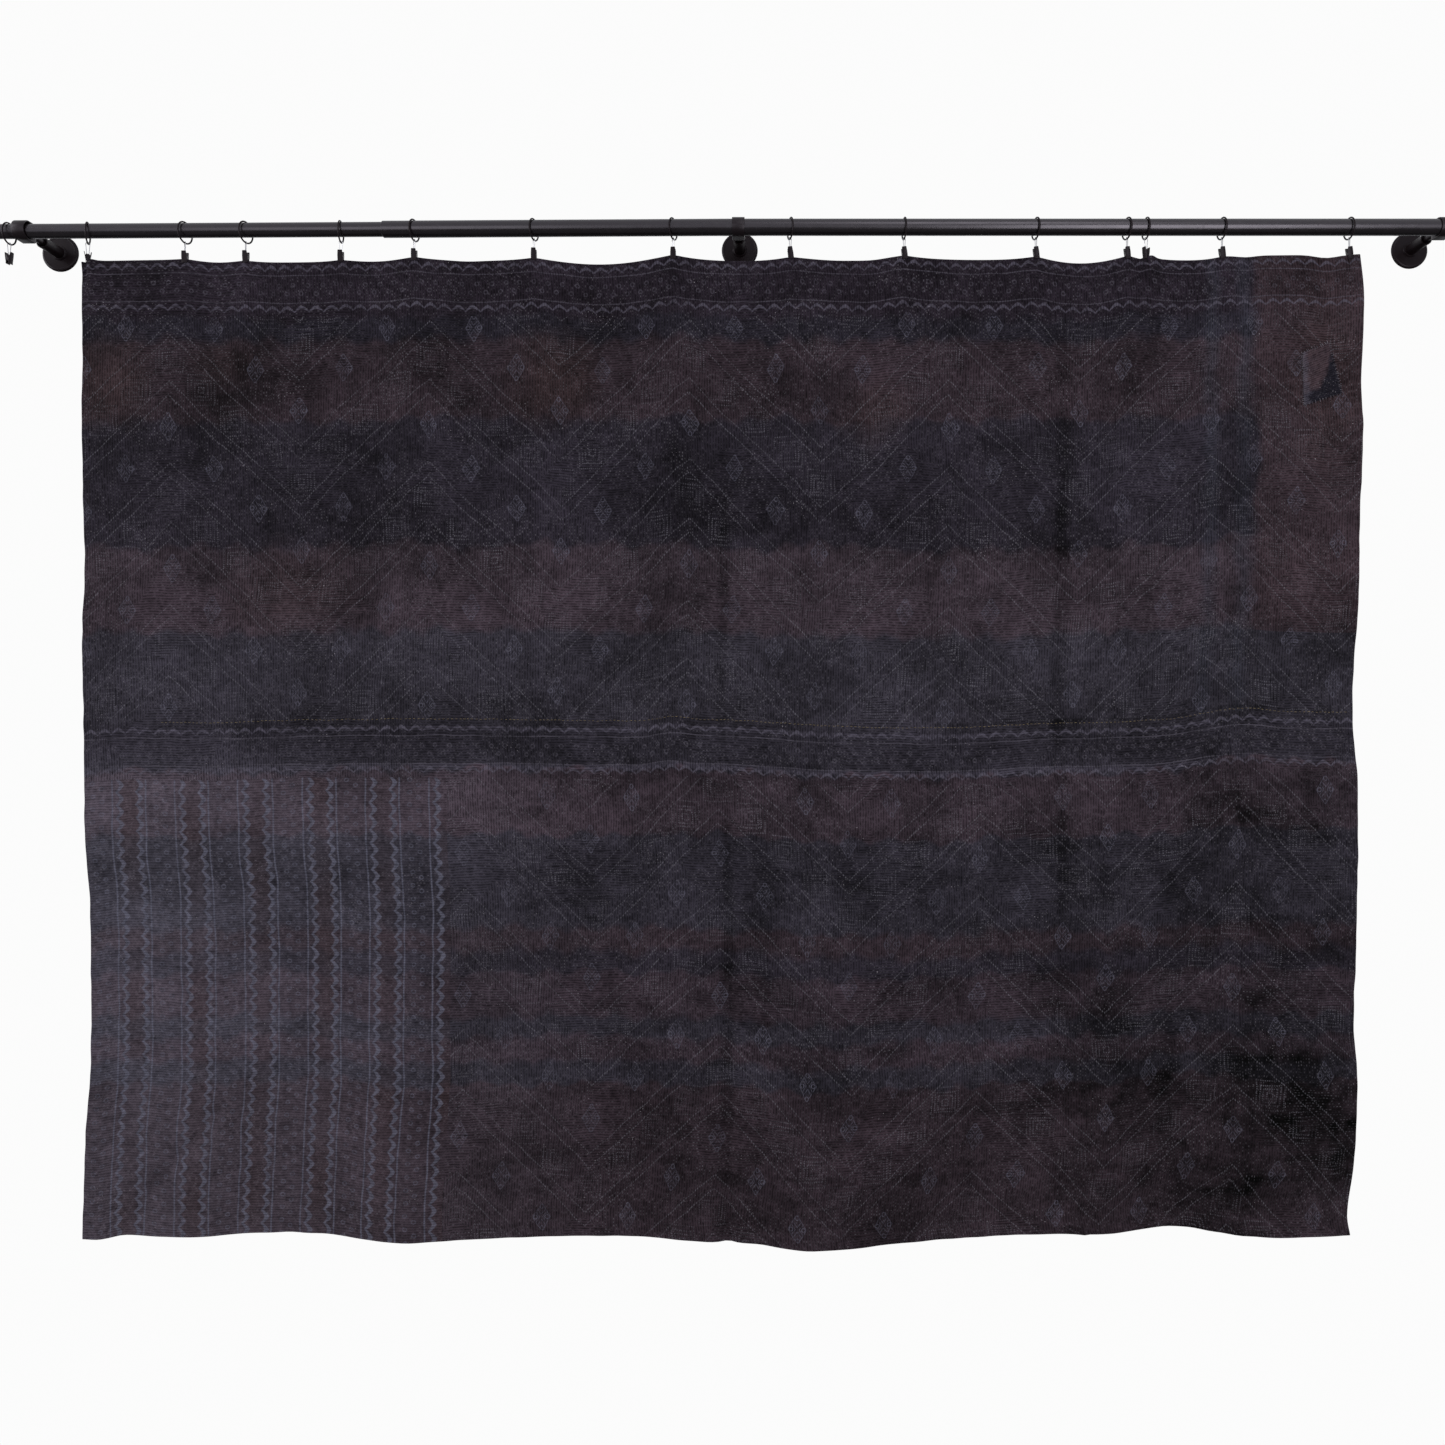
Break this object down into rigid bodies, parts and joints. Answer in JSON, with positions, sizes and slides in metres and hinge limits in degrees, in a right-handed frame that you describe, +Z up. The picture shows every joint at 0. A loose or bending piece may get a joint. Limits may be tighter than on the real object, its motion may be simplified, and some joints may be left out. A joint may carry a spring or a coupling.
{
  "type": "kantha quilt on a curtain rod with clip rings",
  "caption": "Overdyed patchwork quilt hung flat by clip rings from a telescoping curtain rod on wall brackets.",
  "frame": {"origin": "centre of the middle wall plate's back face, on the wall", "axes": "+X along the rod to the viewer's right, +Y into the wall, +Z up"},
  "size_m": [2.4276, 0.1142, 1.6379],
  "materials": {
    "black_metal": "satin black",
    "bright_wire": "bright drawn wire",
    "quilt_cotton": "overdyed cotton, matt, with rows of running stitch",
    "patch_cotton": "matt woven cotton"
  },
  "bodies": {
    "root": {"quilt": "quilt_cotton", "mend_patch": "patch_cotton", "rod_inner_tube": "black_metal", "rod_outer_tube": "black_metal", "end_cap_left": "black_metal", "end_cap_right": "black_metal", "wall_plate_left": "black_metal", "rod_holder_left": "black_metal", "wall_plate_middle": "black_metal", "rod_holder_middle": "black_metal", "wall_plate_right": "black_metal", "rod_holder_right": "black_metal", "ring_free": "black_metal", "link_free": "bright_wire", "clip_free": "black_metal", "ring_01": "black_metal", "link_01": "bright_wire", "clip_01": "black_metal", "ring_02": "black_metal", "link_02": "bright_wire", "clip_02": "black_metal", "ring_03": "black_metal", "link_03": "bright_wire", "clip_03": "black_metal", "ring_04": "black_metal", "link_04": "bright_wire", "clip_04": "black_metal", "ring_05": "black_metal", "link_05": "bright_wire", "clip_05": "black_metal", "ring_06": "black_metal", "link_06": "bright_wire", "clip_06": "black_metal", "ring_07": "black_metal", "link_07": "bright_wire", "clip_07": "black_metal", "ring_08": "black_metal", "link_08": "bright_wire", "clip_08": "black_metal", "ring_09": "black_metal", "link_09": "bright_wire", "clip_09": "black_metal", "ring_10": "black_metal", "link_10": "bright_wire", "clip_10": "black_metal", "ring_11": "black_metal", "link_11": "bright_wire", "clip_11": "black_metal", "ring_12": "black_metal", "link_12": "bright_wire", "clip_12": "black_metal", "ring_13": "black_metal", "link_13": "bright_wire", "clip_13": "black_metal", "ring_14": "black_metal", "link_14": "bright_wire", "clip_14": "black_metal"}
  },
  "joints": []
}
